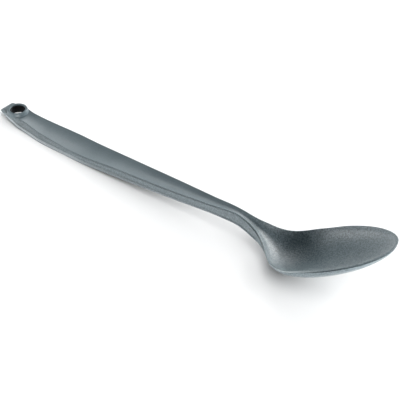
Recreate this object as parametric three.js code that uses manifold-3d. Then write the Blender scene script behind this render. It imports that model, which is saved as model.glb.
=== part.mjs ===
// Long serving spoon: a hollow-topped blade on a grained handle back, with a hanging eyelet at the tail.
// Millimetres. X runs from the tail to the tip of the bowl, Y across, Z up from the table. The pieces are
// drawn with the tail at X 0, and the whole spoon is then centred over the origin.
import * as THREE from "three";
import { mergeVertices } from "three/addons/utils/BufferGeometryUtils.js";
import Module from "manifold-3d";

const between = THREE.MathUtils.lerp;

// Lengths along the spoon.
const HANDLE_LENGTH = 168; // tail to the crest of the neck
const NECK_LENGTH = 25.5; // crest to the shoulder, where the flare turns into the bowl
const BOWL_BACK_LENGTH = 26; // shoulder to the widest place of the bowl
const BOWL_FRONT_LENGTH = 34.5; // widest place to the tip
const PAD_START = 34; // the flat that the handle rests on, measured from the tail
const PAD_LENGTH = 23;
const NOSE_LENGTH = 19; // how far the handle back reaches past the crest

// The bowl.
const BOWL_HALF_WIDTH = 20.6;
const SHOULDER_HALF_WIDTH = 11.6;
const BOWL_INSIDE_DEPTH = 9.1; // straight down from the rim
const BOWL_WALL = 1.95;
const RIM_WIDTH = 1.4;
const RIM_HEIGHT = 0.9; // upright face around the rim
const HEEL_RISE = 0.3; // underside over the table where the rim dips lowest, just behind the heel
const RIM_RISE = 11.75; // from that dip to the widest place
const RIM_SLOPE = 0.58; // rise of the rim for each millimetre towards the tip
const FLARE_POWER = 2.5; // how late the neck flares out
const HOLLOW_POWER = 1.15; // shape of the hollow across the bowl: 1 is an ellipse, 2 a parabola
const UNDERSIDE_POWER = 1.12; // the same for the underside, towards the tip
const TROUGH_POWER = 2; // and across the handle's trough

// Shares of the sizes above at the places between them.
const DIP_PLACE = 0.07; // of the bowl's back, where the rim lies lowest
const DIP_DEPTH = 0.6; // of the depth inside
const HALF_WAY = 0.5;
const HALF_NECK_DEPTH = 0.24;
const HALF_NECK_HEIGHT = 0.68; // of the drop from the crest to the dip
const HALF_BACK_DEPTH = 0.91;
const HALF_BACK_RISE = 0.33;
const SHOULDER_TURN = 0.4; // how far the section has turned from a handle into a bowl
const TAIL_TROUGH = 0.1; // of the trough's depth, at the eyelet
const PAD_TROUGH = 0.75; // and where the pad starts

// The smooth top of the handle.
const TROUGH_DEPTH = 0.9;
const NECK_TROUGH_DEPTH = 0.75;
const PANEL_THICKNESS = 1.4; // under the trough
const NECK_THICKNESS = 2.1;
const PANEL_EDGE_HEIGHT = 0.5;
const PANEL_EDGE_WIDTH = 0.3;

// The crease that bounds the handle's smooth top: its half width at places along the handle.
const TAIL_CREASE = 3.7;
const WAIST_CREASE = 4.8; // between the eyelet and the pad
const PAD_CREASE = 6.1; // where the pad starts
const PALM_CREASE = 7.3; // where it ends
const GRIP_CREASE = 6; // and three places from there to the crest of the neck
const TAPER_CREASE = 4.8;
const THROAT_CREASE = 3.35;
const CREST_CREASE = 2.25;

// Its height over the table at the same places.
const TAIL_HEIGHT = 5.7;
const COLLAR_SEAT = 5.35;
const WAIST_HEIGHT = 4.95;
const PAD_HEIGHT = 3.95;
const PALM_HEIGHT = 4.05;
const GRIP_HEIGHT = 6.9;
const TAPER_HEIGHT = 10;
const THROAT_HEIGHT = 12.65;
const CREST_HEIGHT = 14.65;

// Width of the ledge beside it.
const TAIL_LEDGE = 0.5;
const COLLAR_LEDGE = 0.85;
const WAIST_LEDGE = 2.75;
const PAD_LEDGE = 2.75;
const PALM_LEDGE = 1.25;
const GRIP_LEDGE = 1.5;
const TAPER_LEDGE = 1.2;
const THROAT_LEDGE = 1.15;
const CREST_LEDGE = 2.2;

// Height of the underside's edge, which is on the table along the pad.
const TAIL_UNDER = 3.2;
const COLLAR_UNDER = 1.6;
const WAIST_UNDER = 0.6;
const GRIP_UNDER = 2.3;
const TAPER_UNDER = 5.4;
const THROAT_UNDER = 7.9;
const CREST_UNDER = 9.6;

// Where those places lie: shares of the way from the eyelet to the pad, and from the pad to the crest.
const WAIST_PLACE = 0.33;
const GRIP_PLACE = 0.3;
const TAPER_PLACE = 0.61;
const THROAT_PLACE = 0.84;

// The handle back.
const LIP_THICKNESS = 1.5; // lip along the lower edge, from the tail to the grip
const NECK_LIP_THICKNESS = 0.8;
const LIP_ROUND = 0.4;
const NECK_BELLY = 1.2; // how far the neck's underside bulges below its edges
const NOSE_LEDGE = 0.35; // what is left of the ledge at the nose
const NOSE_DROP = 4.2; // lower edge at the nose, below the crest
const HALF_NOSE_DROP = 1.25;

// The eyelet and its liner.
const EYELET_INSET = 9.9; // tail to the axis of the bore
const EYELET_BORE_RADIUS = 4.35;
const COLLAR_LAND = 1.25; // flat top of the collar, from the bore outwards
const COLLAR_HEIGHT = 1.95; // over the seat
const COLLAR_CHAMFER = 0.35;
const SHANK_WALL = 0.7;
const FLANGE_WIDTH = 1.15; // foot of the collar past the shank
const SHANK_RECESS = 0.2; // end of the shank above the underside
const TAIL_MARGIN = 1; // tail plate past the shank's hole
const LINER_WALL = 0.7;
const LINER_RECESS = 0.6; // below the collar's top

// The pegs under the blade.
const PEG_COUNT = 3;
const PEG_FIRST = 44; // tail to the first peg
const PEG_SPACING = 44;
const PEG_RADIUS = 1.6;
const PEG_RECESS = 0.3; // end of a peg above the underside

const GAP = 0.3; // between pieces that meet
const LEAST_HOLLOW = 0.2; // half width that the hollow's end closes to
const EDGE_OVERCUT = 0.15; // the pocket runs this far past the crease
const TIP_FLAT = 0.03; // cut off the very tip
const OVERLAP = 0.5; // a peg's root inside the blade
const ABOVE = 12; // height of a cutter over what it opens

// Steps that the curved faces are cut into.
const HALF_STEPS = 8; // across half of a section
const HANDLE_STEPS = 30;
const NECK_STEPS = 26; // crest to the widest place
const FRONT_STEPS = 18;
const TIP_STEPS = 5;
const BACK_STEPS = 44;
const NOSE_STEPS = 10;
const UNDER_STEPS = 6; // across the underside of the handle back
const POST_SIDES = 40;
const RING_SIDES = 48;

const padEnd = PAD_START + PAD_LENGTH;
const shankRadius = EYELET_BORE_RADIUS + SHANK_WALL;
const flangeRadius = shankRadius + FLANGE_WIDTH;
const collarCrease = shankRadius + GAP + TAIL_MARGIN - COLLAR_LEDGE;

// Places between the eyelet and the pad, and between the pad and the crest of the neck.
const waistX = between(EYELET_INSET, PAD_START, WAIST_PLACE);
const gripX = between(padEnd, HANDLE_LENGTH, GRIP_PLACE);
const taperX = between(padEnd, HANDLE_LENGTH, TAPER_PLACE);
const throatX = between(padEnd, HANDLE_LENGTH, THROAT_PLACE);

// Handle stations, from the tail to the crest of the neck.
const HANDLE_STATIONS = [
  { place: 0, crease: TAIL_CREASE, height: TAIL_HEIGHT, ledge: TAIL_LEDGE, under: TAIL_UNDER },
  { place: EYELET_INSET, crease: collarCrease, height: COLLAR_SEAT, ledge: COLLAR_LEDGE, under: COLLAR_UNDER },
  { place: waistX, crease: WAIST_CREASE, height: WAIST_HEIGHT, ledge: WAIST_LEDGE, under: WAIST_UNDER },
  { place: PAD_START, crease: PAD_CREASE, height: PAD_HEIGHT, ledge: PAD_LEDGE, under: 0 },
  { place: padEnd, crease: PALM_CREASE, height: PALM_HEIGHT, ledge: PALM_LEDGE, under: 0 },
  { place: gripX, crease: GRIP_CREASE, height: GRIP_HEIGHT, ledge: GRIP_LEDGE, under: GRIP_UNDER },
  { place: taperX, crease: TAPER_CREASE, height: TAPER_HEIGHT, ledge: TAPER_LEDGE, under: TAPER_UNDER },
  { place: throatX, crease: THROAT_CREASE, height: THROAT_HEIGHT, ledge: THROAT_LEDGE, under: THROAT_UNDER },
  { place: HANDLE_LENGTH, crease: CREST_CREASE, height: CREST_HEIGHT, ledge: CREST_LEDGE, under: CREST_UNDER },
];

const crestX = HANDLE_LENGTH;
const shoulderX = crestX + NECK_LENGTH;
const middleX = shoulderX + BOWL_BACK_LENGTH;
const tipX = middleX + BOWL_FRONT_LENGTH;
const noseX = crestX + NOSE_LENGTH;
const halfNoseX = between(crestX, noseX, HALF_WAY);
const crest = HANDLE_STATIONS[HANDLE_STATIONS.length - 1];

// A smooth curve through points [place, value] that never overshoots between them.
function smoothCurve(points) {
  const slopes = points.map((point, i) => {
    if (i === 0 || i === points.length - 1) return 0;
    const before = slopeBetween(points[i - 1], point);
    const after = slopeBetween(point, points[i + 1]);
    return before * after <= 0 ? 0 : (2 * before * after) / (before + after);
  });
  slopes[0] = endSlope(points[0], points[1], slopes[1]);
  const last = points.length - 1;
  slopes[last] = endSlope(points[last - 1], points[last], slopes[last - 1]);
  return (x) => {
    if (x <= points[0][0]) return points[0][1];
    if (x >= points[last][0]) return points[last][1];
    const i = points.findIndex((point) => point[0] > x) - 1;
    const span = points[i + 1][0] - points[i][0];
    const t = (x - points[i][0]) / span;
    const rise = 3 * t * t - 2 * t * t * t;
    const leave = t * (1 - t) * (1 - t) * span * slopes[i];
    const arrive = t * t * (t - 1) * span * slopes[i + 1];
    return points[i][1] * (1 - rise) + points[i + 1][1] * rise + leave + arrive;
  };
}

function slopeBetween(a, b) {
  return (b[1] - a[1]) / (b[0] - a[0]);
}

function endSlope(a, b, inner) {
  return 1.5 * slopeBetween(a, b) - 0.5 * inner;
}

function handleCurve(size) {
  return HANDLE_STATIONS.map((station) => [station.place, station[size]]);
}

// Half width of the crease along the handle, of the flare at the neck and of the bowl's rim.
const handleCrease = smoothCurve(handleCurve("crease"));
const flareSlope = (FLARE_POWER * (SHOULDER_HALF_WIDTH - crest.crease)) / NECK_LENGTH;
const backPower = (flareSlope * BOWL_BACK_LENGTH) / (BOWL_HALF_WIDTH - SHOULDER_HALF_WIDTH);

function edgeHalfWidth(x) {
  if (x <= crestX) return handleCrease(x);
  if (x <= shoulderX) {
    const along = (x - crestX) / NECK_LENGTH;
    return crest.crease + (SHOULDER_HALF_WIDTH - crest.crease) * along ** FLARE_POWER;
  }
  if (x <= middleX) {
    const left = (middleX - x) / BOWL_BACK_LENGTH;
    return BOWL_HALF_WIDTH - (BOWL_HALF_WIDTH - SHOULDER_HALF_WIDTH) * left ** backPower;
  }
  return ellipseHalfWidth(x, BOWL_FRONT_LENGTH, BOWL_HALF_WIDTH);
}

function ellipseHalfWidth(x, length, halfWidth) {
  const along = Math.min((x - middleX) / length, 1);
  return halfWidth * Math.sqrt(1 - along * along);
}

// Depth of the hollow below its edge, along the handle, through the neck and in the back of the bowl.
const dipX = between(shoulderX, middleX, DIP_PLACE);
const halfNeckX = between(crestX, shoulderX, HALF_WAY);
const halfBackX = between(shoulderX, middleX, HALF_WAY);
const hollowDepth = smoothCurve([
  [EYELET_INSET, TROUGH_DEPTH * TAIL_TROUGH],
  [PAD_START, TROUGH_DEPTH * PAD_TROUGH],
  [padEnd, TROUGH_DEPTH],
  [taperX, TROUGH_DEPTH],
  [crestX, NECK_TROUGH_DEPTH],
  [halfNeckX, BOWL_INSIDE_DEPTH * HALF_NECK_DEPTH],
  [dipX, BOWL_INSIDE_DEPTH * DIP_DEPTH],
  [halfBackX, BOWL_INSIDE_DEPTH * HALF_BACK_DEPTH],
  [middleX, BOWL_INSIDE_DEPTH],
]);

// Height of that edge over the table. The heel of the bowl stands on it.
const dipHeight = HEEL_RISE + BOWL_WALL + hollowDepth(dipX);
const edgeHeight = smoothCurve([
  ...handleCurve("height"),
  [halfNeckX, between(dipHeight, crest.height, HALF_NECK_HEIGHT)],
  [dipX, dipHeight],
  [halfBackX, dipHeight + RIM_RISE * HALF_BACK_RISE],
  [middleX, dipHeight + RIM_RISE],
  [tipX, dipHeight + RIM_RISE + RIM_SLOPE * BOWL_FRONT_LENGTH],
]);

// Thickness of the blade in the middle of its section.
const bladeThickness = smoothCurve([
  [taperX, PANEL_THICKNESS],
  [crestX, NECK_THICKNESS],
  [shoulderX, BOWL_WALL],
]);

// How far the section has turned from a handle into a bowl, from 0 to 1.
const bowlShare = smoothCurve([
  [crestX, 0],
  [shoulderX, SHOULDER_TURN],
  [middleX, 1],
]);

// The two halves of a blade section, each a list of [y, z] from the left edge to the right.
function acrossAngles() {
  return Array.from({ length: 2 * HALF_STEPS + 1 }, (_, i) => (Math.PI * i) / (2 * HALF_STEPS));
}

function rimWidth(x) {
  return between(PANEL_EDGE_WIDTH, RIM_WIDTH, bowlShare(x));
}

function hollowHalfWidth(x) {
  return ellipseHalfWidth(x, BOWL_FRONT_LENGTH - RIM_WIDTH, BOWL_HALF_WIDTH - RIM_WIDTH);
}

function innerHalfWidth(x) {
  if (x <= middleX) return edgeHalfWidth(x) - rimWidth(x);
  return Math.max(hollowHalfWidth(x), LEAST_HOLLOW);
}

function insideDepth(x) {
  if (x <= middleX) return hollowDepth(x);
  return (BOWL_INSIDE_DEPTH * hollowHalfWidth(x)) / (BOWL_HALF_WIDTH - RIM_WIDTH);
}

function edgeDrop(x) {
  return between(PANEL_EDGE_HEIGHT, RIM_HEIGHT, bowlShare(x));
}

// Height of the blade's underside in the middle of its section.
function undersideHeight(x) {
  if (x <= middleX) return Math.max(edgeHeight(x) - hollowDepth(x) - bladeThickness(x), 0);
  const share = (edgeHalfWidth(x) / BOWL_HALF_WIDTH) ** UNDERSIDE_POWER;
  return edgeHeight(x) - edgeDrop(x) - (BOWL_INSIDE_DEPTH + BOWL_WALL - RIM_HEIGHT) * share;
}

function topCurve(x) {
  const power = between(TROUGH_POWER, HOLLOW_POWER, bowlShare(x));
  return acrossAngles().map((angle) => {
    const y = -innerHalfWidth(x) * Math.cos(angle);
    return [y, edgeHeight(x) - insideDepth(x) * Math.sin(angle) ** power];
  });
}

function bottomCurve(x, halfWidth, lowered) {
  const power = between(TROUGH_POWER, 1, bowlShare(x));
  const edge = edgeHeight(x) - edgeDrop(x) - lowered;
  const drop = edge - (undersideHeight(x) - lowered);
  return acrossAngles().map((angle) => {
    return [-halfWidth * Math.cos(angle), edge - drop * Math.sin(angle) ** power];
  });
}

function bladeSection(x) {
  const half = edgeHalfWidth(x);
  const top = topCurve(x).reverse();
  const rimRight = [half, edgeHeight(x)];
  const rimLeft = [-half, edgeHeight(x)];
  return [...bottomCurve(x, half, 0), rimRight, ...top, rimLeft];
}

// The pocket that the handle back leaves for the blade, open upwards.
function pocketSection(x) {
  const half = edgeHalfWidth(x) + EDGE_OVERCUT;
  const lid = edgeHeight(x) + ABOVE;
  return [...bottomCurve(x, half, GAP), [half, lid], [-half, lid]];
}

// The handle back: ledge and facet beside the blade, lip along the lower edge, and the underside.
const ledgeWidth = smoothCurve([
  ...handleCurve("ledge"),
  [halfNoseX, crest.ledge],
  [noseX, NOSE_LEDGE],
]);
const underEdge = smoothCurve([
  ...handleCurve("under"),
  [halfNoseX, crest.under - HALF_NOSE_DROP],
  [noseX, crest.under - NOSE_DROP],
]);
const lipThickness = smoothCurve([
  [gripX, LIP_THICKNESS],
  [throatX, NECK_LIP_THICKNESS],
]);
const underBelly = smoothCurve([
  [gripX, 0],
  [crestX, NECK_BELLY],
]);

function backSection(x) {
  const crease = edgeHalfWidth(x);
  const edge = crease + ledgeWidth(x);
  const low = underEdge(x);
  const lip = low + lipThickness(x);
  const shelf = edgeHeight(x) - edgeDrop(x) - GAP;
  const right = [
    [edge - LIP_ROUND, low],
    [edge, low + LIP_ROUND],
    [edge, lip - LIP_ROUND],
    [edge - LIP_ROUND, lip],
    [crease, shelf],
  ];
  const left = right.map(([y, z]) => [-y, z]).reverse();
  const under = [];
  for (let i = 1; i < UNDER_STEPS; i += 1) {
    const across = (2 * i) / UNDER_STEPS - 1;
    under.push([across * (edge - LIP_ROUND), low - underBelly(x) * (1 - across * across)]);
  }
  return [...under, ...right, ...left];
}

// A closed solid through sections of equal length, each a loop of [y, z] that runs anticlockwise.
function loft(places, sectionAt) {
  const loops = places.map(sectionAt);
  const count = loops[0].length;
  const positions = loops.flatMap((loop, i) => loop.flatMap(([y, z]) => [places[i], y, z]));
  const triangles = [];
  for (let i = 0; i + 1 < places.length; i += 1) {
    for (let j = 0; j < count; j += 1) {
      const a = i * count + j;
      const b = i * count + ((j + 1) % count);
      triangles.push(a, b, a + count, b, b + count, a + count);
    }
  }
  const lastRow = (places.length - 1) * count;
  const ends = [loops[0], loops[loops.length - 1]].map((loop) => {
    return THREE.ShapeUtils.triangulateShape(loop.map(([y, z]) => new THREE.Vector2(y, z)), []);
  });
  ends[0].forEach(([a, b, c]) => triangles.push(a, c, b));
  ends[1].forEach(([a, b, c]) => triangles.push(lastRow + a, lastRow + b, lastRow + c));
  const geometry = new THREE.BufferGeometry();
  geometry.setAttribute("position", new THREE.Float32BufferAttribute(positions, 3));
  geometry.setIndex(triangles);
  return geometry;
}

function evenPlaces(start, end, count) {
  return Array.from({ length: count + 1 }, (_, i) => between(start, end, i / count));
}

// An upright cylinder with its axis at x, from one height to another.
function post(x, radius, low, high) {
  const geometry = new THREE.CylinderGeometry(radius, radius, high - low, POST_SIDES);
  return geometry.rotateX(Math.PI / 2).translate(x, 0, (low + high) / 2);
}

const wasm = await Module();
wasm.setup();

function toSolid(geometry) {
  const bare = geometry.clone();
  bare.deleteAttribute("normal");
  bare.deleteAttribute("uv");
  const merged = mergeVertices(bare, 1e-4);
  const mesh = new wasm.Mesh({
    numProp: 3,
    vertProperties: merged.getAttribute("position").array,
    triVerts: new Uint32Array(merged.getIndex().array),
  });
  return new wasm.Manifold(mesh);
}

function toGeometry(solid) {
  const mesh = solid.getMesh();
  const geometry = new THREE.BufferGeometry();
  geometry.setAttribute("position", new THREE.BufferAttribute(mesh.vertProperties, 3));
  geometry.setIndex(new THREE.BufferAttribute(mesh.triVerts, 1));
  geometry.computeVertexNormals();
  return geometry;
}

// Heights at the eyelet: its seat on the tail plate, the collar's top and the shank's end.
const seatHeight = edgeHeight(EYELET_INSET) - edgeDrop(EYELET_INSET) - GAP;
const collarTop = seatHeight + GAP + COLLAR_HEIGHT;
const shankEnd = underEdge(EYELET_INSET) + SHANK_RECESS;

const pegPlaces = Array.from({ length: PEG_COUNT }, (_, i) => PEG_FIRST + i * PEG_SPACING);

// Bowl, neck and smooth top of the handle, trimmed round the eyelet, with its pegs.
function makeBlade() {
  const hollowLength = BOWL_FRONT_LENGTH - RIM_WIDTH;
  const frontAngles = evenPlaces(0, Math.PI / 2, FRONT_STEPS).slice(1);
  const places = [
    ...evenPlaces(EYELET_INSET, crestX, HANDLE_STEPS),
    ...evenPlaces(crestX, middleX, NECK_STEPS).slice(1),
    ...frontAngles.map((angle) => middleX + hollowLength * Math.sin(angle)),
    ...evenPlaces(tipX - RIM_WIDTH, tipX - TIP_FLAT, TIP_STEPS).slice(1),
  ];
  let blade = toSolid(loft(places, bladeSection));
  blade = blade.subtract(toSolid(post(EYELET_INSET, flangeRadius + GAP, 0, collarTop + ABOVE)));
  for (const x of pegPlaces) {
    const root = undersideHeight(x) + OVERLAP;
    blade = blade.add(toSolid(post(x, PEG_RADIUS, underEdge(x) + PEG_RECESS, root)));
  }
  return toGeometry(blade);
}

// Grained sides and back of the handle, with the pocket for the blade and the holes for pegs and eyelet.
function makeBack() {
  let back = toSolid(loft(evenPlaces(0, noseX, BACK_STEPS), backSection));
  const pocketPlaces = [
    ...evenPlaces(EYELET_INSET, crestX, HANDLE_STEPS),
    ...evenPlaces(crestX, noseX + GAP, NOSE_STEPS).slice(1),
  ];
  const pocket = toSolid(loft(pocketPlaces, pocketSection));
  back = back.subtract(pocket.subtract(toSolid(post(EYELET_INSET, flangeRadius, -ABOVE, 2 * ABOVE))));
  back = back.subtract(toSolid(post(EYELET_INSET, flangeRadius + GAP, seatHeight, seatHeight + ABOVE)));
  back = back.subtract(toSolid(post(EYELET_INSET, shankRadius + GAP, -ABOVE, seatHeight + ABOVE)));
  for (const x of pegPlaces) {
    back = back.subtract(toSolid(post(x, PEG_RADIUS + GAP, -ABOVE, edgeHeight(x))));
  }
  return toGeometry(back);
}

// A ring turned from a closed outline of [radius, height], about the eyelet's axis.
function ring(outline) {
  const points = [...outline, outline[0]].map(([radius, height]) => new THREE.Vector2(radius, height));
  return new THREE.LatheGeometry(points, RING_SIDES).rotateX(Math.PI / 2);
}

function makeEyelet() {
  const foot = seatHeight + GAP;
  const topRadius = EYELET_BORE_RADIUS + COLLAR_LAND;
  return ring([
    [EYELET_BORE_RADIUS, shankEnd],
    [shankRadius, shankEnd],
    [shankRadius, foot],
    [flangeRadius, foot],
    [topRadius, collarTop - COLLAR_CHAMFER],
    [topRadius - COLLAR_CHAMFER, collarTop],
    [EYELET_BORE_RADIUS + COLLAR_CHAMFER, collarTop],
    [EYELET_BORE_RADIUS, collarTop - COLLAR_CHAMFER],
  ]);
}

function makeLiner() {
  const outer = EYELET_BORE_RADIUS - GAP;
  const inner = outer - LINER_WALL;
  const top = collarTop - LINER_RECESS;
  return ring([
    [inner, shankEnd],
    [outer, shankEnd],
    [outer, top],
    [inner, top],
  ]);
}

function plastic(colour, roughness) {
  return new THREE.MeshStandardMaterial({ color: colour, roughness, metalness: 0 });
}

function piece(name, geometry, material) {
  const mesh = new THREE.Mesh(geometry, material);
  mesh.name = name;
  return mesh;
}

const satinGrey = plastic(0x6e787c, 0.45);
const grainedGrey = plastic(0x727b80, 0.6);
const nearBlack = plastic(0x101214, 0.35);

const eyeletGroup = new THREE.Group();
eyeletGroup.position.x = EYELET_INSET;
eyeletGroup.add(piece("hanging_eyelet", makeEyelet(), satinGrey));
eyeletGroup.add(piece("eyelet_liner", makeLiner(), nearBlack));

const spoon = new THREE.Group();
spoon.add(piece("spoon_blade", makeBlade(), satinGrey));
spoon.add(piece("handle_back", makeBack(), grainedGrey));
spoon.add(eyeletGroup);
spoon.position.x = -(tipX - TIP_FLAT) / 2;

export default spoon;
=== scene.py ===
import math
from bisect import bisect_right

import bmesh
import bpy
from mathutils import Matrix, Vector


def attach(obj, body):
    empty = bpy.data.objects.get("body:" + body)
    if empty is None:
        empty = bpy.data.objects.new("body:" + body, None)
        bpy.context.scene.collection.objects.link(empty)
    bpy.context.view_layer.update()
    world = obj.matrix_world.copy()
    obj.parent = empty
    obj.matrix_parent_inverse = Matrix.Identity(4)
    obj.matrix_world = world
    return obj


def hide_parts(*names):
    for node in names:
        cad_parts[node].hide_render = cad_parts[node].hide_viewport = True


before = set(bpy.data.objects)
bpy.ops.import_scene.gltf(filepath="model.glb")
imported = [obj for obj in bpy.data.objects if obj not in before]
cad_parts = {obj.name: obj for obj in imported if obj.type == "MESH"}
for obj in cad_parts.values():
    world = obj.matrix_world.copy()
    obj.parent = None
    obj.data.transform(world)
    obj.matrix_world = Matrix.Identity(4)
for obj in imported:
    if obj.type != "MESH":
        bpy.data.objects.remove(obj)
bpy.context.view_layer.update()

MM = 0.001
BODY = "root"

# Lengths along the spoon, in millimetres from the tail.
HANDLE_LENGTH = 168
NECK_LENGTH = 25.5
BOWL_BACK_LENGTH = 26
BOWL_FRONT_LENGTH = 34.5
PAD_START = 34
PAD_LENGTH = 23
NOSE_LENGTH = 19
NOSE_POINT_LENGTH = 27

# The bowl.
BOWL_HALF_WIDTH = 20.6
SHOULDER_HALF_WIDTH = 11.6
BOWL_INSIDE_DEPTH = 9.1
BOWL_WALL = 1.95
RIM_WIDTH = 1.4
RIM_HEIGHT = 0.9
HEEL_RISE = 0.3
RIM_RISE = 11.75
RIM_SLOPE = 0.58
FLARE_POWER = 2.5
HOLLOW_POWER = 1.15
UNDERSIDE_POWER = 1.12
TROUGH_POWER = 2

# The smooth top of the handle.
TROUGH_DEPTH = 0.9
NECK_TROUGH_DEPTH = 0.75
PANEL_THICKNESS = 1.4
NECK_THICKNESS = 2.1
PANEL_EDGE_HEIGHT = 0.5
PANEL_EDGE_WIDTH = 0.3

# The handle back.
LIP_THICKNESS = 1.5
NECK_LIP_THICKNESS = 0.8
LIP_ROUND = 0.4
LIP_BEVEL = 0.68
# Below the lip's bevel, the height over which the painted highlight fades.
PAINTED_HIGHLIGHT_FADE = 0.08
NECK_BELLY = 1.2
NOSE_LEDGE = 0.35
POINT_LEDGE = 0.02
NOSE_DROP = 3.05
POINT_DROP = 3.1
HALF_NOSE_DROP = 1.15

# The eyelet and its liner.
EYELET_INSET = 9.9
EYELET_BORE_RADIUS = 4.35
COLLAR_LAND = 1.25
COLLAR_HEIGHT = 1.95
COLLAR_LEDGE = 0.85
SHANK_WALL = 0.7
FLANGE_WIDTH = 1.15
SHANK_RECESS = 0.2
TAIL_MARGIN = 1
LINER_WALL = 0.7
LINER_RECESS = 0.6
GAP = 0.3

# The pegs under the blade.
PEG_PLACES = (44, 88, 132)
PEG_RADIUS = 1.6
PEG_RECESS = 0.3

PAD_END = PAD_START + PAD_LENGTH
CREST_X = HANDLE_LENGTH
SHOULDER_X = CREST_X + NECK_LENGTH
MIDDLE_X = SHOULDER_X + BOWL_BACK_LENGTH
TIP_X = MIDDLE_X + BOWL_FRONT_LENGTH
NOSE_X = CREST_X + NOSE_LENGTH
POINT_X = CREST_X + NOSE_POINT_LENGTH
SHANK_RADIUS = EYELET_BORE_RADIUS + SHANK_WALL
FLANGE_RADIUS = SHANK_RADIUS + FLANGE_WIDTH
TIP_FLAT = 0.03
ORIGIN_X = (TIP_X - TIP_FLAT) / 2


def between(a, b, share):
    """The value at a share of the way from a to b."""
    return a + (b - a) * share


def ease(x, start, end):
    """0 before start, 1 after end, and a smooth step in between."""
    t = min(max((x - start) / (end - start), 0), 1)
    return t * t * (3 - 2 * t)


def smooth_curve(points):
    """A curve through (place, value) points that never overshoots between them."""
    places = [p for p, _ in points]
    values = [v for _, v in points]
    chords = [(values[i + 1] - values[i]) / (places[i + 1] - places[i]) for i in range(len(points) - 1)]
    slopes = [0.0] * len(points)
    for i in range(1, len(points) - 1):
        before, after = chords[i - 1], chords[i]
        if before * after > 0:
            slopes[i] = 2 * before * after / (before + after)
    slopes[0] = 1.5 * chords[0] - 0.5 * slopes[1]
    slopes[-1] = 1.5 * chords[-1] - 0.5 * slopes[-2]

    def value(x):
        if x <= places[0]:
            return values[0]
        if x >= places[-1]:
            return values[-1]
        i = bisect_right(places, x) - 1
        span = places[i + 1] - places[i]
        t = (x - places[i]) / span
        rise = t * t * (3 - 2 * t)
        leave = t * (1 - t) ** 2 * span * slopes[i]
        arrive = t * t * (t - 1) * span * slopes[i + 1]
        return between(values[i], values[i + 1], rise) + leave + arrive

    return value


# Handle stations: place, half width and height of the crease, ledge width, underside height.
COLLAR_CREASE = SHANK_RADIUS + GAP + TAIL_MARGIN - COLLAR_LEDGE
WAIST_X = between(EYELET_INSET, PAD_START, 0.33)
GRIP_X = between(PAD_END, CREST_X, 0.3)
TAPER_X = between(PAD_END, CREST_X, 0.61)
THROAT_X = between(PAD_END, CREST_X, 0.84)
STATIONS = (
    (0, 3.7, 5.7, 0.5, 3.2),
    (EYELET_INSET, COLLAR_CREASE, 5.35, COLLAR_LEDGE, 1.6),
    (WAIST_X, 4.8, 4.95, 2.75, 0.6),
    (PAD_START, 6.1, 3.95, 2.75, 0),
    (PAD_END, 7.3, 4.05, 1.25, 0),
    (GRIP_X, 6.0, 6.9, 1.5, 2.3),
    (TAPER_X, 4.8, 10.0, 1.2, 5.4),
    (THROAT_X, 3.35, 12.65, 1.15, 7.9),
    (CREST_X, 2.25, 14.65, 2.2, 9.6),
)
CREASE, HEIGHT, LEDGE, UNDER = 1, 2, 3, 4
CREST = STATIONS[-1]


def handle_curve(column):
    """One measure of the handle stations, as points of a curve."""
    return [(station[0], station[column]) for station in STATIONS]


HALF_NECK_X = between(CREST_X, SHOULDER_X, 0.5)
HALF_BACK_X = between(SHOULDER_X, MIDDLE_X, 0.5)
DIP_X = between(SHOULDER_X, MIDDLE_X, 0.07)
HALF_NOSE_X = between(CREST_X, NOSE_X, 0.5)

handle_crease = smooth_curve(handle_curve(CREASE))
hollow_depth = smooth_curve([
    (EYELET_INSET, TROUGH_DEPTH * 0.6),
    (PAD_START, TROUGH_DEPTH * 0.75),
    (PAD_END, TROUGH_DEPTH),
    (TAPER_X, TROUGH_DEPTH),
    (CREST_X, NECK_TROUGH_DEPTH),
    (HALF_NECK_X, BOWL_INSIDE_DEPTH * 0.24),
    (DIP_X, BOWL_INSIDE_DEPTH * 0.6),
    (HALF_BACK_X, BOWL_INSIDE_DEPTH * 0.91),
    (MIDDLE_X, BOWL_INSIDE_DEPTH),
    (TIP_X, BOWL_INSIDE_DEPTH * 0.9),
])
DIP_HEIGHT = HEEL_RISE + BOWL_WALL + hollow_depth(DIP_X)
edge_height = smooth_curve([
    *handle_curve(HEIGHT),
    (HALF_NECK_X, between(DIP_HEIGHT, CREST[HEIGHT], 0.68)),
    (DIP_X, DIP_HEIGHT),
    (HALF_BACK_X, DIP_HEIGHT + RIM_RISE * 0.33),
    (MIDDLE_X, DIP_HEIGHT + RIM_RISE),
    (TIP_X, DIP_HEIGHT + RIM_RISE + RIM_SLOPE * BOWL_FRONT_LENGTH),
])
blade_thickness = smooth_curve([
    (TAPER_X, PANEL_THICKNESS),
    (CREST_X, NECK_THICKNESS),
    (SHOULDER_X, BOWL_WALL),
])
bowl_share = smooth_curve([(CREST_X, 0), (SHOULDER_X, 0.4), (MIDDLE_X, 1)])
ledge_width = smooth_curve([
    *handle_curve(LEDGE),
    (HALF_NOSE_X, CREST[LEDGE]),
    (NOSE_X, NOSE_LEDGE),
    (POINT_X, POINT_LEDGE),
])
under_edge = smooth_curve([
    *handle_curve(UNDER),
    (HALF_NOSE_X, CREST[UNDER] - HALF_NOSE_DROP),
    (NOSE_X, CREST[UNDER] - NOSE_DROP),
    (POINT_X, CREST[UNDER] - POINT_DROP),
])
lip_thickness = smooth_curve([(GRIP_X, LIP_THICKNESS), (THROAT_X, NECK_LIP_THICKNESS)])
under_belly = smooth_curve([(GRIP_X, 0), (CREST_X, NECK_BELLY)])

FLARE_SLOPE = FLARE_POWER * (SHOULDER_HALF_WIDTH - CREST[CREASE]) / NECK_LENGTH
BACK_POWER = FLARE_SLOPE * BOWL_BACK_LENGTH / (BOWL_HALF_WIDTH - SHOULDER_HALF_WIDTH)


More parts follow.
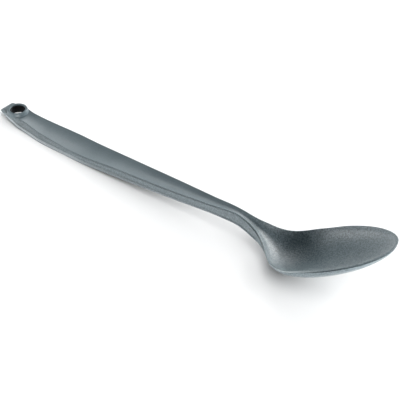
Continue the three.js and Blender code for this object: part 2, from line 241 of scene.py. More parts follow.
def edge_half_width(x):
    """Half the width of the blade at its edge, up to the middle of the bowl."""
    if x <= CREST_X:
        return handle_crease(x)
    if x <= SHOULDER_X:
        along = (x - CREST_X) / NECK_LENGTH
        return CREST[CREASE] + (SHOULDER_HALF_WIDTH - CREST[CREASE]) * along ** FLARE_POWER
    left = max(MIDDLE_X - x, 0) / BOWL_BACK_LENGTH
    return BOWL_HALF_WIDTH - (BOWL_HALF_WIDTH - SHOULDER_HALF_WIDTH) * left ** BACK_POWER


def edge_drop(x):
    """Height of the blade's upright edge."""
    return between(PANEL_EDGE_HEIGHT, RIM_HEIGHT, bowl_share(x))


def underside_height(x):
    return max(edge_height(x) - hollow_depth(x) - blade_thickness(x), 0)


# Mesh helpers.
SHARP_ANGLE = math.radians(40)
MERGE_DISTANCE = 0.0001
SCRAP_LENGTH = 0.002
SCRAP_FACES = 8
TURN_STEPS = 160
POST_STEPS = 96
CUT_TOP = 12
CUT_BOTTOM = -5
# The attribute below holds each point's share of painted highlight along edges.
HIGHLIGHT_ATTRIBUTE = "edge_highlight"


def to_object(name, bm, *materials):
    """A smooth-shaded object from a mesh in the making, which is used up."""
    bmesh.ops.remove_doubles(bm, verts=bm.verts, dist=MERGE_DISTANCE * MM)
    loose = [edge for edge in bm.edges if not edge.link_faces]
    bmesh.ops.delete(bm, geom=loose, context="EDGES")
    bmesh.ops.recalc_face_normals(bm, faces=bm.faces)
    mesh = bpy.data.meshes.new(name)
    bm.to_mesh(mesh)
    bm.free()
    mesh.shade_smooth()
    mesh.set_sharp_from_angle(angle=SHARP_ANGLE)
    for material in materials:
        mesh.materials.append(material)
    made = bpy.data.objects.new(name, mesh)
    bpy.context.scene.collection.objects.link(made)
    return made


def loft(bm, rows, closed_rows=False):
    """Quads between rows of points in millimetres from the tail. Returns the rows of vertices."""
    grid = []
    for row in rows:
        grid.append([bm.verts.new(((x - ORIGIN_X) * MM, y * MM, z * MM)) for x, y, z in row])
    for first, second in zip(grid, grid[1:]):
        count = len(first)
        for j in range(count if closed_rows else count - 1):
            k = (j + 1) % count
            bm.faces.new((first[j], first[k], second[k], second[j]))
    return grid


def cap(bm, ring):
    """Closes a ring of vertices."""
    edges = [bm.edges.get((a, b)) for a, b in zip(ring, ring[1:] + ring[:1])]
    bmesh.ops.triangle_fill(bm, edges=edges, use_beauty=True)


def corner(start, point, end, steps):
    """A rounded corner as a curve from start to end that leans towards point."""
    made = []
    for i in range(steps + 1):
        t = i / steps
        made.append(tuple(
            (1 - t) ** 2 * a + 2 * t * (1 - t) * b + t * t * c for a, b, c in zip(start, point, end)
        ))
    return made


def even(start, end, steps):
    """Evenly spaced values from start to end."""
    return [between(start, end, i / steps) for i in range(steps + 1)]


def turned(name, outline, x, material, segments=TURN_STEPS):
    """A ring or plug turned about the upright axis at x, from a closed outline of (radius, height)."""
    bm = bmesh.new()
    rows = []
    for i in range(segments + 1):
        angle = 2 * math.pi * i / segments
        rows.append([(x + r * math.cos(angle), r * math.sin(angle), z) for r, z in outline])
    loft(bm, rows, closed_rows=True)
    return to_object(name, bm, material)


def islands(bm):
    """Sets of faces that hang together by their edges."""
    left = set(bm.faces)
    while left:
        island = set()
        reached = [left.pop()]
        while reached:
            face = reached.pop()
            island.add(face)
            near = {other for edge in face.edges for other in edge.link_faces} & left
            left -= near
            reached += near
        yield island


def clean(mesh):
    """Takes out what a cut can leave: edges without length, doubled faces and loose scraps."""
    bm = bmesh.new()
    bm.from_mesh(mesh)
    bmesh.ops.dissolve_degenerate(bm, dist=SCRAP_LENGTH * MM, edges=bm.edges)
    bmesh.ops.triangulate(bm, faces=[face for face in bm.faces if len(face.verts) > 4])
    twins = {}
    for face in bm.faces:
        twins.setdefault(frozenset(face.verts), []).append(face)
    doubled = [face for faces in twins.values() if len(faces) > 1 for face in faces]
    bmesh.ops.delete(bm, geom=doubled, context="FACES")
    scraps = [face for island in islands(bm) if len(island) < SCRAP_FACES for face in island]
    bmesh.ops.delete(bm, geom=scraps, context="FACES")
    bm.to_mesh(mesh)
    bm.free()


def cut(piece, *cutters):
    """Takes the cutters out of the piece."""
    bpy.context.view_layer.objects.active = piece
    for cutter in cutters:
        modifier = piece.modifiers.new("cut", "BOOLEAN")
        modifier.object = cutter
        modifier.solver = "MANIFOLD"
        bpy.ops.object.modifier_apply(modifier=modifier.name)
        bpy.data.objects.remove(cutter)
    clean(piece.data)
    piece.data.set_sharp_from_angle(angle=SHARP_ANGLE)


def paint_edge_highlights(piece, share_at):
    """Marks how much painted highlight each point of a piece gets, from its place in millimetres from the
    tail.
    """
    marks = piece.data.attributes.new(HIGHLIGHT_ATTRIBUTE, "FLOAT", "POINT")
    for vertex, mark in zip(piece.data.vertices, marks.data):
        x, y, z = vertex.co / MM
        mark.value = share_at(x + ORIGIN_X, abs(y), z)


def post(x, radius, low, high):
    """An upright round cutter."""
    outline = [(0, low), (radius, low), (radius, high), (0, high)]
    return turned("cutter", outline, x, None, POST_STEPS)


# The blade: bowl, neck and smooth top of the handle. A pair holds a size at the handle and at the bowl.
HANDLE_ROWS = 130
NECK_ROWS = 70
FRONT_ROWS = 120
INSIDE_STEPS = 44
UNDER_STEPS = 36
CORNER_STEPS = 5
RIM_STEPS = 4
EDGE_BEVEL_WIDTH = (0.05, 0.32)
EDGE_BEVEL_HEIGHT = (0.08, 0.5)
EDGE_OVERHANG = (0.1, 0.45)
EDGE_SOFT = 0.06
BEVEL_START = 0.2
BEVEL_END = 0.8
ROUND_OF_RIM = 0.42
ROUND_OF_DEPTH = 0.5
ROOT_INSET = 0.01
ROOT_DROP = 0.005

# The bead and the groove under the bowl's rim. A pair holds a size without and with the groove.
GROOVE_DEPTH = (0.02, 0.95)
GROOVE_HEIGHT = (0.02, 0.8)
GROOVE_START = between(SHOULDER_X, MIDDLE_X, 0.56)
GROOVE_FULL = between(MIDDLE_X, TIP_X, 0.36)
BEAD_OVERHANG = 0.22
BEAD_HEIGHT = 0.3
BEAD_BEVEL = 0.15
# Where the painted highlight lies along the rim's outer edge, and its share at the front.
RIM_HIGHLIGHT_WIDTH = 0.4
RIM_HIGHLIGHT_HEIGHT = 0.56
FRONT_RIM_HIGHLIGHT = 0.25
COLLAR_OVERLAP = 0.25


def blade_profile(half, inner, depth, drop, bottom, share, tip_share, groove):
    """Half a section, from the middle of the hollow over the rim to the middle of the underside.

    The points are (out, rise) from the middle of the section at the height of the rim.
    """
    rim = half - inner
    inside_round = min(ROUND_OF_RIM * rim, ROUND_OF_DEPTH * depth)
    bevel_width = between(*EDGE_BEVEL_WIDTH, share)
    bevel_height = between(between(*EDGE_BEVEL_HEIGHT, share), BEAD_BEVEL, groove)
    drop = between(drop, BEAD_HEIGHT, groove)
    overhang = between(between(*EDGE_OVERHANG, share), BEAD_OVERHANG, groove)
    groove_depth = between(*GROOVE_DEPTH, groove)
    groove_height = between(*GROOVE_HEIGHT, groove)
    inside_power = between(TROUGH_POWER, HOLLOW_POWER, share)
    under_power = between(between(TROUGH_POWER, 1, share), UNDERSIDE_POWER, tip_share)
    inside_end = math.asin((inside_round / depth) ** (1 / inside_power))
    points = []
    for angle in even(math.pi / 2, inside_end, INSIDE_STEPS)[:-1]:
        points.append((inner * math.cos(angle), -depth * math.sin(angle) ** inside_power))
    start = (inner * math.cos(inside_end), -inside_round)
    points += corner(start, (inner, 0), (inner + inside_round, 0), CORNER_STEPS)
    bevel_top = half - bevel_width
    flat = even(inner + inside_round, bevel_top - EDGE_SOFT, RIM_STEPS)[1:-1]
    points += [(out, 0) for out in flat]
    slope = (between(bevel_top, half, BEVEL_START), -BEVEL_START * bevel_height)
    points += corner((bevel_top - EDGE_SOFT, 0), (bevel_top, 0), slope, CORNER_STEPS)
    slope = (between(bevel_top, half, BEVEL_END), -BEVEL_END * bevel_height)
    points += corner(slope, (half, -bevel_height), (half, -bevel_height - EDGE_SOFT), CORNER_STEPS)
    points += corner((half, EDGE_SOFT - drop), (half, -drop), (half - EDGE_SOFT, -drop), CORNER_STEPS)
    root = half - overhang
    low = -drop - groove_height
    points += [(root - groove_depth, -drop), (root - groove_depth, low), (root - ROOT_INSET, low)]
    for angle in even(0, math.pi / 2, UNDER_STEPS):
        fall = (bottom + low - ROOT_DROP) * math.sin(angle) ** under_power
        points.append((root * math.cos(angle), low - ROOT_DROP - fall))
    return points


def ellipse_radius(length, width, angle):
    """Distance from an ellipse's centre to its rim, in the direction of angle from +X."""
    return length * width / math.hypot(width * math.cos(angle), length * math.sin(angle))


def straight_half(x, side):
    """A half section across the spoon, up to the middle of the bowl."""
    half = edge_half_width(x)
    share = bowl_share(x)
    inner = half - between(PANEL_EDGE_WIDTH, RIM_WIDTH, share)
    drop = edge_drop(x)
    bottom = edge_height(x) - underside_height(x)
    groove = ease(x, GROOVE_START, GROOVE_FULL)
    profile = blade_profile(half, inner, hollow_depth(x), drop, bottom, share, 0, groove)
    return [(x, side * out, edge_height(x) + rise) for out, rise in profile]


def front_half(turn):
    """A half section through the middle of the bowl, turned towards the tip."""
    front = BOWL_FRONT_LENGTH - TIP_FLAT
    angle = math.atan2(BOWL_HALF_WIDTH * math.cos(turn), front * math.sin(turn))
    half = ellipse_radius(front, BOWL_HALF_WIDTH, angle)
    inner = ellipse_radius(front - RIM_WIDTH, BOWL_HALF_WIDTH - RIM_WIDTH, angle)
    bottom = BOWL_INSIDE_DEPTH + BOWL_WALL
    tip_share = math.cos(angle) ** 2
    groove = ease(MIDDLE_X + half * math.cos(angle), GROOVE_START, GROOVE_FULL)
    profile = blade_profile(half, inner, BOWL_INSIDE_DEPTH, RIM_HEIGHT, bottom, 1, tip_share, groove)
    points = []
    for out, rise in profile:
        x = MIDDLE_X + out * math.cos(angle)
        points.append((x, out * math.sin(angle), edge_height(x) + rise))
    return points


def rim_highlight(x, out, z):
    """A painted highlight along the outer edge of the bowl's rim, most beside the back of the bowl."""
    if x > MIDDLE_X:
        reach = math.hypot(x - MIDDLE_X, out)
        angle = math.atan2(out, x - MIDDLE_X)
        margin = ellipse_radius(BOWL_FRONT_LENGTH - TIP_FLAT, BOWL_HALF_WIDTH, angle) - reach
    else:
        margin = edge_half_width(x) - out
    if margin > RIM_HIGHLIGHT_WIDTH or z < edge_height(x) - RIM_HIGHLIGHT_HEIGHT:
        return 0
    towards_tip = ease(x, HALF_BACK_X, GROOVE_FULL)
    return ease(x, DIP_X, HALF_BACK_X) * between(1, FRONT_RIM_HIGHLIGHT, towards_tip)


def make_blade(material):
    places = even(EYELET_INSET, CREST_X, HANDLE_ROWS) + even(CREST_X, MIDDLE_X, NECK_ROWS)[1:]
    right = [straight_half(x, 1) for x in places]
    front = [front_half(turn) for turn in even(0, math.pi, FRONT_ROWS)[1:-1]]
    left = [straight_half(x, -1) for x in reversed(places)]
    bm = bmesh.new()
    grid = loft(bm, right + front + left)
    bm.faces.new(grid[0] + list(reversed(grid[-1]))[1:-1])
    blade = to_object("blade", bm, material)
    cut(blade, post(EYELET_INSET, FLANGE_RADIUS - COLLAR_OVERLAP, 0, CUT_TOP))
    return blade


# The handle back: sides, lip, tail plate and underside.
SEAT_HEIGHT = edge_height(EYELET_INSET) - edge_drop(EYELET_INSET) - GAP
COLLAR_TOP = SEAT_HEIGHT + GAP + COLLAR_HEIGHT
SHANK_END = under_edge(EYELET_INSET) + SHANK_RECESS
BACK_ROWS = 300
TAIL_ROWS = 5
BELLY_STEPS = 16
LIP_ROUND_STEPS = 5
LIP_SOFT_STEPS = 4
SIDE_STEPS = 8
CREASE_STEPS = 3
POCKET_STEPS = 24
TAIL_ROUND = 0.3
TAIL_BEVEL = 1.6
TAIL_SLOPE = 0.5
TAIL_GAP = 0.1
NOSE_GAP = 0.4
SINK_START = CREST_X + 10
SINK_END = CREST_X + 14
SINK = 0.9
SINK_SHARES = (0.6, 0.9)
LEAST_WALL = 0.25
POCKET_INSET = 0.1
POCKET_START = EYELET_INSET - 2
POCKET_FULL = EYELET_INSET + 2
LIP_SOFT = 0.08
LIP_SOFT_SHARE = 0.15
LIP_LAND = 0.1
SIDE_END = 0.96
CREASE_START = 0.98
CREASE_OUT = 0.04
CREASE_IN = 0.06
# The painted highlight along the lip's bevel: its share at the grip, and how far it reaches in and past
# the bevel.
GRIP_LIP_HIGHLIGHT = 0.25
LIP_HIGHLIGHT_REACH = 0.1
LIP_HIGHLIGHT_MARGIN = 0.02
SHANK_CLEARANCE = 0.1
PEG_CLEARANCE = 0.15


def seam_gap(x):
    """Gap under the blade's edge: small at the tail, open from the grip on and widest at the nose."""
    nose = ease(x, CREST_X, HALF_NOSE_X) * (1 - ease(x, NOSE_X, POINT_X))
    return between(TAIL_GAP, GAP, ease(x, WAIST_X, GRIP_X)) + NOSE_GAP * nose


def pocket_height(x, out):
    """Height of the surface under the blade. At the nose its middle sinks into the blade, to be cut."""
    shelf = edge_height(x) - edge_drop(x) - seam_gap(x)
    half = edge_half_width(x)
    power = between(TROUGH_POWER, 1, bowl_share(x))
    drop = edge_height(x) - edge_drop(x) - underside_height(x)
    sine = math.sqrt(max(1 - (out / half) ** 2, 0))
    sink = SINK * ease(sine, *SINK_SHARES) * ease(x, SINK_START, SINK_END)
    return shelf - drop * sine ** power * ease(x, POCKET_START, POCKET_FULL) + sink


def lip_bevel(x):
    """Height of the bevel along the lip."""
    return LIP_BEVEL * (lip_thickness(x) - LIP_ROUND)


def back_profile(x):
    """Half a section of the handle back, from the middle of the underside to that of the pocket."""
    crease = edge_half_width(x)
    pocket = crease - POCKET_INSET
    edge = crease + ledge_width(x)
    low = under_edge(x)
    lip = low + lip_thickness(x)
    shelf = edge_height(x) - edge_drop(x) - seam_gap(x)
    steep = lip_bevel(x)
    bevel = steep * min(ledge_width(x) / LIP_THICKNESS, 1)
    points = []
    for share in even(0, 1, BELLY_STEPS)[:-1]:
        out = share * (edge - LIP_ROUND)
        belly = low - under_belly(x) * (1 - share * share)
        points.append((out, min(belly, pocket_height(x, min(out, pocket)) - LEAST_WALL)))
    points += corner((edge - LIP_ROUND, low), (edge, low), (edge, low + LIP_ROUND), LIP_ROUND_STEPS)
    # The point below the bevel is where the painted highlight fades out.
    points += [(edge, lip - steep - PAINTED_HIGHLIGHT_FADE), (edge, lip - steep)]
    slope = (edge - (1 - LIP_SOFT_SHARE) * bevel, lip - LIP_SOFT_SHARE * steep)
    points += corner(slope, (edge - bevel, lip), (edge - bevel - LIP_SOFT, lip), LIP_SOFT_STEPS)
    foot = edge - bevel - LIP_SOFT - LIP_LAND * ledge_width(x)
    top = crease + CREASE_OUT
    side = [(between(foot, top, t), between(lip, shelf, t)) for t in even(0, SIDE_END, SIDE_STEPS)]
    start = (between(foot, top, CREASE_START), between(lip, shelf, CREASE_START))
    points += side + corner(start, (top, shelf), (crease - CREASE_IN, shelf), CREASE_STEPS)
    for share in even(1, 0, POCKET_STEPS):
        points.append((share * pocket, pocket_height(x, share * pocket)))
    return points


def back_section(x):
    """A whole section of the handle back, with the tail's end sloped and rounded."""
    half = back_profile(x)
    if x < TAIL_BEVEL:
        top = pocket_height(TAIL_BEVEL, 0) - TAIL_SLOPE * (TAIL_BEVEL - x)
        half = [(out, min(z, top)) for out, z in half]
    if x < TAIL_ROUND:
        shrink = TAIL_ROUND - math.sqrt(TAIL_ROUND ** 2 - (TAIL_ROUND - x) ** 2)
        tall = [z for _, z in half]
        middle = (max(tall) + min(tall)) / 2
        flatter = 1 - 2 * shrink / (max(tall) - min(tall))
        narrower = 1 - shrink / max(out for out, _ in half)
        half = [(out * narrower, middle + (z - middle) * flatter) for out, z in half]
    right = [(x, out, z) for out, z in half]
    left = [(x, -out, z) for out, z in reversed(half[1:-1])]
    return right + left


def lip_highlight(x, out, z):
    """A painted highlight along the bevel of the lip, most on the tail half, and none at the tail's
    corner.
    """
    edge = edge_half_width(x) + ledge_width(x)
    lip = under_edge(x) + lip_thickness(x)
    inside = edge - lip_bevel(x) - LIP_HIGHLIGHT_REACH
    foot = lip - lip_bevel(x) - LIP_HIGHLIGHT_MARGIN
    if out < inside or z > lip + LIP_HIGHLIGHT_MARGIN or z < foot:
        return 0
    along_handle = ease(x, PAD_START, GRIP_X)
    return ease(x, TAIL_BEVEL, EYELET_INSET) * between(1, GRIP_LIP_HIGHLIGHT, along_handle)


def make_back(material, blade):
    places = [TAIL_ROUND * (1 - math.cos(a)) for a in even(0, math.pi / 2, TAIL_ROWS)[:-1]]
    places += even(TAIL_ROUND, POINT_X, BACK_ROWS)
    bm = bmesh.new()
    grid = loft(bm, [back_section(x) for x in places], closed_rows=True)
    cap(bm, grid[0])
    cap(bm, grid[-1])
    back = to_object("back", bm, material)
    cut(back, post(EYELET_INSET, SHANK_RADIUS + SHANK_CLEARANCE, CUT_BOTTOM, CUT_TOP))
    hole = PEG_RADIUS + PEG_CLEARANCE
    cut(back, *[post(x, hole, CUT_BOTTOM, edge_height(x)) for x in PEG_PLACES])
    shape = blade.copy()
    bpy.context.scene.collection.objects.link(shape)
    cut(back, shape)
    return back


# The eyelet, its liner and the pegs.
FLANGE_LIFT = 0.1
FLARE_STEPS = 4
FLARE_START = 0.15
FLARE_BEND = 0.5
FLARE_WIDTH = 0.12
FLARE_TOP = 0.6
COLLAR_ROUND = 0.3
COLLAR_ROUND_STEPS = 6
RING_INSET = 0.62
RING_HALF_WIDTH = 0.14
RING_FLOOR_HALF_WIDTH = 0.09
RING_DEPTH = 0.14
LINER_CLEARANCE = 0.02
LINER_ROUND = 0.25
PEG_ROUND = 0.25
ROUND_STEPS = 5
PEG_STEPS = 64


def make_eyelet(material):
    bore = EYELET_BORE_RADIUS
    foot = SEAT_HEIGHT + FLANGE_LIFT
    land = bore + COLLAR_LAND
    ring = bore + RING_INSET
    top = COLLAR_TOP
    below = top - COLLAR_ROUND
    outline = [(bore, SHANK_END), (SHANK_RADIUS, SHANK_END), (SHANK_RADIUS, foot), (FLANGE_RADIUS, foot)]
    flare_foot = (FLANGE_RADIUS, foot + FLARE_START)
    flare_bend = (FLANGE_RADIUS - FLARE_WIDTH, foot + FLARE_BEND)
    outline += corner(flare_foot, flare_bend, (land + FLARE_WIDTH, top - FLARE_TOP), FLARE_STEPS)
    outline += corner((land, below), (land, top), (land - COLLAR_ROUND, top), COLLAR_ROUND_STEPS)
    outline += [(ring + RING_HALF_WIDTH, top), (ring + RING_FLOOR_HALF_WIDTH, top - RING_DEPTH)]
    outline += [(ring - RING_FLOOR_HALF_WIDTH, top - RING_DEPTH), (ring - RING_HALF_WIDTH, top)]
    outline += corner((bore + COLLAR_ROUND, top), (bore, top), (bore, below), COLLAR_ROUND_STEPS)
    return turned("eyelet", outline, EYELET_INSET, material)


def make_liner(material):
    outer = EYELET_BORE_RADIUS - LINER_CLEARANCE
    inner = outer - LINER_WALL
    soft = inner + LINER_ROUND
    top = COLLAR_TOP - LINER_RECESS
    end = SHANK_END
    outline = [(outer, end), (outer, top)]
    outline += corner((soft, top), (inner, top), (inner, top - LINER_ROUND), ROUND_STEPS)
    outline += corner((inner, end + LINER_ROUND), (inner, end), (soft, end), ROUND_STEPS)
    return turned("liner", outline, EYELET_INSET, material)


def make_peg(number, x, material):
    end = under_edge(x) + PEG_RECESS
    root = underside_height(x)
    rounded = (PEG_RADIUS - PEG_ROUND, end)
    outline = [(0, root), (0, end)]
    outline += corner(rounded, (PEG_RADIUS, end), (PEG_RADIUS, end + PEG_ROUND), ROUND_STEPS)
    outline += [(PEG_RADIUS, root)]
    return turned(f"peg_{number}", outline, x, material, PEG_STEPS)


# Materials. The places are those of the colour sockets of a Mix node.
MIX_COLOURS = slice(6, 8)
MIX_RESULT = 2
GRAIN_DETAIL = 3
GRAIN_ROUGHNESS = 0.6
SLOW_SIZE = 14
NOISE_SPAN = (0.3, 0.7)
SLOW_TONE = 0.3
SPECK_TONE = 0.9
TONE_SPAN = (-0.3, 0.6)
SHEEN_CHANGE = 0.05
# Roughness taken off where the painted highlight lies.
HIGHLIGHT_POLISH = 0.08
HANDLE_GRAIN = 0.12
GRAIN_FADE = 8


class Nodes:
    """A material's node tree, with short calls to add and link nodes."""

    def __init__(self, name):
        self.material = bpy.data.materials.new(name)
        self.material.use_nodes = True
        self.tree = self.material.node_tree
        self.shader = self.tree.nodes["Principled BSDF"]
        self.place = self.add("ShaderNodeTexCoord").outputs["Object"]

    def add(self, kind, **settings):
        node = self.tree.nodes.new(kind)
        for key, value in settings.items():
            setattr(node, key, value)
        return node

    def link(self, source, target):
        self.tree.links.new(source, target)

    def noise(self, size_mm, detail=2, roughness=0.5):
        """Noise with features of about that size."""
        node = self.add("ShaderNodeTexNoise")
        node.inputs["Scale"].default_value = 1 / (size_mm * MM)
        node.inputs["Detail"].default_value = detail
        node.inputs["Roughness"].default_value = roughness
        self.link(self.place, node.inputs["Vector"])
        return node.outputs["Fac"]

    def ranged(self, source, low, high, to_low, to_high):
        """A smooth step from to_low to to_high while the source goes from low to high."""
        node = self.add("ShaderNodeMapRange", interpolation_type="SMOOTHSTEP")
        limits = {"From Min": low, "From Max": high, "To Min": to_low, "To Max": to_high}
        for key, value in limits.items():
            node.inputs[key].default_value = value
        self.link(source, node.inputs["Value"])
        return node.outputs["Result"]

    def maths(self, operation, a, b):
        node = self.add("ShaderNodeMath", operation=operation)
        for value, socket in zip((a, b), node.inputs):
            if isinstance(value, (int, float)):
                socket.default_value = value
            else:
                self.link(value, socket)
        return node.outputs["Value"]

    def mixed(self, share, first, second):
        """A colour that goes from the first to the second with the share."""
        node = self.add("ShaderNodeMix", data_type="RGBA")
        self.link(share, node.inputs["Factor"])
        for value, socket in zip((first, second), node.inputs[MIX_COLOURS]):
            if isinstance(value, tuple):
                socket.default_value = (*value, 1)
            else:
                self.link(value, socket)
        return node.outputs[MIX_RESULT]

    def bump(self, height, strength, depth_mm):
        node = self.add("ShaderNodeBump")
        node.inputs["Distance"].default_value = depth_mm * MM
        if isinstance(strength, (int, float)):
            node.inputs["Strength"].default_value = strength
        else:
            self.link(strength, node.inputs["Strength"])
        self.link(height, node.inputs["Height"])
        self.link(node.outputs["Normal"], self.shader.inputs["Normal"])


def plastic(name, dark, light, rough, grain_mm, grain_depth, grain_mask=None, specular=0.5, highlight_colour=None):
    """Moulded plastic: a fine grain in height and colour, slow changes of colour and sheen, and edges with
    a painted highlight, lighter in colour and a little glossier.
    """
    nodes = Nodes(name)
    grain = nodes.noise(grain_mm, GRAIN_DETAIL, GRAIN_ROUGHNESS)
    slow = nodes.noise(SLOW_SIZE, GRAIN_DETAIL)
    speck = nodes.ranged(grain, *NOISE_SPAN, -0.5, 0.5)
    strength = 1.0
    if grain_mask:
        split = nodes.add("ShaderNodeSeparateXYZ")
        nodes.link(nodes.place, split.inputs["Vector"])
        strength = nodes.ranged(split.outputs["X"], *grain_mask)
        speck = nodes.maths("MULTIPLY", speck, strength)
    slow_tone = nodes.maths("MULTIPLY", slow, SLOW_TONE)
    tone = nodes.maths("ADD", slow_tone, nodes.maths("MULTIPLY", speck, SPECK_TONE))
    colour = nodes.mixed(nodes.ranged(tone, *TONE_SPAN, 0, 1), dark, light)
    sheen = nodes.ranged(slow, *NOISE_SPAN, rough - SHEEN_CHANGE, rough + SHEEN_CHANGE)
    # Edges get a painted highlight: a lighter colour, and a little less roughness.
    if highlight_colour:
        highlight_share = nodes.add("ShaderNodeAttribute", attribute_name=HIGHLIGHT_ATTRIBUTE).outputs["Fac"]
        colour = nodes.mixed(highlight_share, colour, highlight_colour)
        sheen = nodes.maths("SUBTRACT", sheen, nodes.maths("MULTIPLY", highlight_share, HIGHLIGHT_POLISH))
    nodes.link(colour, nodes.shader.inputs["Base Color"])
    nodes.link(sheen, nodes.shader.inputs["Roughness"])
    nodes.bump(grain, strength, grain_depth)
    nodes.shader.inputs["Specular IOR Level"].default_value = specular
    return nodes.material


def make_materials():
    grain_start = (CREST_X - GRAIN_FADE - ORIGIN_X) * MM
    grain_full = (SHOULDER_X - ORIGIN_X) * MM
    return {
        "satin_plastic": plastic(
            "satin plastic",
            dark=(0.088, 0.114, 0.127),
            light=(0.196, 0.24, 0.256),
            rough=0.36,
            grain_mm=0.75,
            grain_depth=0.2,
            grain_mask=(grain_start, grain_full, HANDLE_GRAIN, 1),
            # The lighter colour of the painted highlight along the bowl's rim.
            highlight_colour=(0.28, 0.325, 0.335),
        ),
        "grained_plastic": plastic(
            "grained plastic",
            dark=(0.1, 0.127, 0.14),
            light=(0.184, 0.222, 0.236),
            rough=0.36,
            grain_mm=0.6,
            grain_depth=0.2,
            # The lighter colour of the painted highlight along the lip.
            highlight_colour=(0.42, 0.46, 0.475),
        ),
        "collar_plastic": plastic(
            "collar plastic",
            dark=(0.112, 0.15, 0.167),
            light=(0.138, 0.178, 0.195),
            rough=0.4,
            grain_mm=0.8,
            grain_depth=0.02,
        ),
        "liner_plastic": plastic(
            "liner plastic",
            dark=(0.002, 0.003, 0.004),
            light=(0.005, 0.007, 0.009),
            rough=0.5,
            grain_mm=0.5,
            grain_depth=0.02,
            specular=0.2,
        ),
    }


# Lamps far away: name, azimuth, elevation, level, spread. Angles are in degrees.
SPOON_LAMPS = (
    ("front right", 42, 8, 2.2, 32),
    ("front", 326, 8, 1.1, 34),
    ("left", 286, 8, 1.6, 32),
    ("back low", 180, 8, 2.7, 40),
    ("back right", 156, 26, 3.0, 36),
    ("back left", 202, 35, 1.15, 40),
)
FLOOR_LAMPS = (
    ("floor right", 60, 60, 2.6, 40),
    ("floor low right", 120, 22, 3.3, 40),
    ("floor back", 144, 40, 2.9, 90),
    ("floor low back", 210, 8, 6.2, 40),
)
SKY_COLOUR = (0.02, 0.034, 0.044)

# The panel off the tip, in millimetres from the tail, and its power in watts.
PANEL_PLACE = (330, 0, 15)
PANEL_AIM = (245, 0, 30)
PANEL_SIZE = 60
PANEL_POWER = 0.14

# The floor: half its size in metres, its colour for the spoon and for the camera, and its own glow.
FLOOR_HALF_SIZE = 4
FLOOR_SQUARES = 8
FLOOR_WHITE = 0.65
FLOOR_SEEN = 0.55
FLOOR_LIFT = 0.12
FLOOR_ROUGHNESS = 0.9
FLOOR_SPECULAR = 0.1

# The camera: angles in degrees, lengths in millimetres, and its target from the tail.
VIEW_AZIMUTH = 38.67
VIEW_ELEVATION = 40.1
VIEW_DISTANCE = 559.68
VIEW_SENSOR = 36
VIEW_LENS = 96.25
VIEW_TARGET = (136.836, 8.2225, 0)


def make_floor():
    """A pale floor that is a little brighter to the camera, and keeps the spoon's shadow."""
    bm = bmesh.new()
    bmesh.ops.create_grid(
        bm, x_segments=FLOOR_SQUARES, y_segments=FLOOR_SQUARES, size=FLOOR_HALF_SIZE
    )
    floor = to_object("floor", bm)
    nodes = Nodes("floor")
    tree = nodes.tree
    nodes.shader.inputs["Roughness"].default_value = FLOOR_ROUGHNESS
    nodes.shader.inputs["Specular IOR Level"].default_value = FLOOR_SPECULAR
    lift = nodes.add("ShaderNodeEmission")
    path = nodes.add("ShaderNodeLightPath")
    seen = nodes.maths("MAXIMUM", path.outputs["Is Camera Ray"], path.outputs["Is Glossy Ray"])
    colour = nodes.mixed(seen, (FLOOR_WHITE,) * 3, (FLOOR_SEEN,) * 3)
    nodes.link(colour, nodes.shader.inputs["Base Color"])
    nodes.link(nodes.maths("MULTIPLY", seen, FLOOR_LIFT), lift.inputs["Strength"])
    total = nodes.add("ShaderNodeAddShader")
    nodes.link(nodes.shader.outputs["BSDF"], total.inputs[0])
    nodes.link(lift.outputs["Emission"], total.inputs[1])
    nodes.link(total.outputs["Shader"], tree.nodes["Material Output"].inputs["Surface"])
    floor.data.materials.append(nodes.material)
    return floor


def direction(azimuth, elevation):
    """From the object towards a place round it: azimuth 0 is in front, along -Y, and 90 along +X."""
    a, e = math.radians(azimuth), math.radians(elevation)
    return Vector((math.sin(a) * math.cos(e), -math.cos(a) * math.cos(e), math.sin(e)))


def soft_lamp(name, azimuth, elevation, level, spread, lit):
    """A wide soft lamp far away, for the objects in one collection."""
    data = bpy.data.lights.new(name, "SUN")
    data.energy = level
    data.angle = math.radians(spread)
    lamp = bpy.data.objects.new(name, data)
    lamp.rotation_mode = "QUATERNION"
    lamp.rotation_quaternion = direction(azimuth, elevation).to_track_quat("Z", "Y")
    lamp.light_linking.receiver_collection = lit
    bpy.context.scene.collection.objects.link(lamp)


def from_tail(place):
    """The place in the scene of a point in millimetres from the tail."""
    x, y, z = place
    return Vector((x - ORIGIN_X, y, z)) * MM


def near_panel(lit):
    """A small soft panel off the tip of the bowl, out of the camera's sight."""
    data = bpy.data.lights.new("tip panel", "AREA")
    data.size = PANEL_SIZE * MM
    data.energy = PANEL_POWER
    lamp = bpy.data.objects.new("tip panel", data)
    lamp.location = from_tail(PANEL_PLACE)
    lamp.rotation_mode = "QUATERNION"
    towards_panel = from_tail(PANEL_PLACE) - from_tail(PANEL_AIM)
    lamp.rotation_quaternion = towards_panel.to_track_quat("Z", "Y")
    lamp.light_linking.receiver_collection = lit
    lamp.visible_camera = False
    bpy.context.scene.collection.objects.link(lamp)


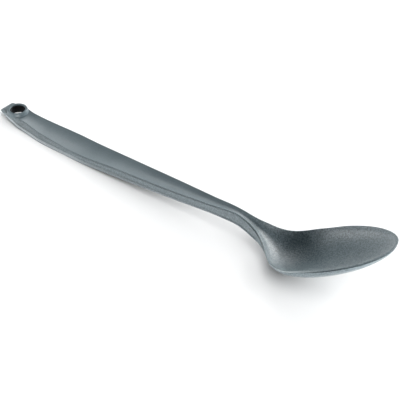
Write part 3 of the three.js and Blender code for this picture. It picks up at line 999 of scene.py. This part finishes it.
def make_light(spoon, floor):
    """A dim sky that is white to the camera, and lamps for the spoon and for the floor."""
    world = bpy.data.worlds.new("studio")
    world.use_nodes = True
    tree = world.node_tree
    background = tree.nodes["Background"]
    path = tree.nodes.new("ShaderNodeLightPath")
    colour = tree.nodes.new("ShaderNodeMix")
    colour.data_type = "RGBA"
    dim, white = colour.inputs[MIX_COLOURS]
    dim.default_value = (*SKY_COLOUR, 1)
    white.default_value = (1, 1, 1, 1)
    tree.links.new(path.outputs["Is Camera Ray"], colour.inputs["Factor"])
    tree.links.new(colour.outputs[MIX_RESULT], background.inputs["Color"])
    bpy.context.scene.world = world
    for name, azimuth, elevation, level, spread in SPOON_LAMPS:
        soft_lamp(name, azimuth, elevation, level, spread, spoon)
    near_panel(spoon)
    for name, azimuth, elevation, level, spread in FLOOR_LAMPS:
        soft_lamp(name, azimuth, elevation, level, spread, floor)


def make_camera():
    data = bpy.data.cameras.new("camera")
    data.sensor_width = VIEW_SENSOR
    data.lens = VIEW_LENS
    camera = bpy.data.objects.new("camera", data)
    back = direction(VIEW_AZIMUTH, VIEW_ELEVATION)
    camera.location = from_tail(VIEW_TARGET) + back * VIEW_DISTANCE * MM
    camera.rotation_mode = "QUATERNION"
    camera.rotation_quaternion = (-back).to_track_quat("-Z", "Y")
    bpy.context.scene.collection.objects.link(camera)
    bpy.context.scene.camera = camera


# The pieces on the part's body.
pieces = []


def place(piece, slot, *nodes):
    """Puts a piece on the body and hides the CAD nodes that it replaces. The slot is not used."""
    pieces.append(piece)
    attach(piece, BODY)
    if nodes:
        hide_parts(*nodes)


def gathered(name, members):
    """A collection of objects, for the lamps."""
    made = bpy.data.collections.new(name)
    for member in members:
        made.objects.link(member)
    return made


make_camera()
looks = make_materials()
blade = make_blade(looks["satin_plastic"])
place(blade, "satin_plastic", "spoon_blade")
back = make_back(looks["grained_plastic"], blade)
place(back, "grained_plastic", "handle_back")
# Painted highlights along the bowl's rim and the lip's bevel.
paint_edge_highlights(blade, rim_highlight)
paint_edge_highlights(back, lip_highlight)
place(make_eyelet(looks["collar_plastic"]), "collar_plastic", "hanging_eyelet")
place(make_liner(looks["liner_plastic"]), "liner_plastic", "eyelet_liner")
for number, x in enumerate(PEG_PLACES, 1):
    place(make_peg(number, x, looks["satin_plastic"]), "satin_plastic")
make_light(gathered("spoon", pieces), gathered("ground", [make_floor()]))
bpy.context.scene.view_settings.view_transform = "Standard"
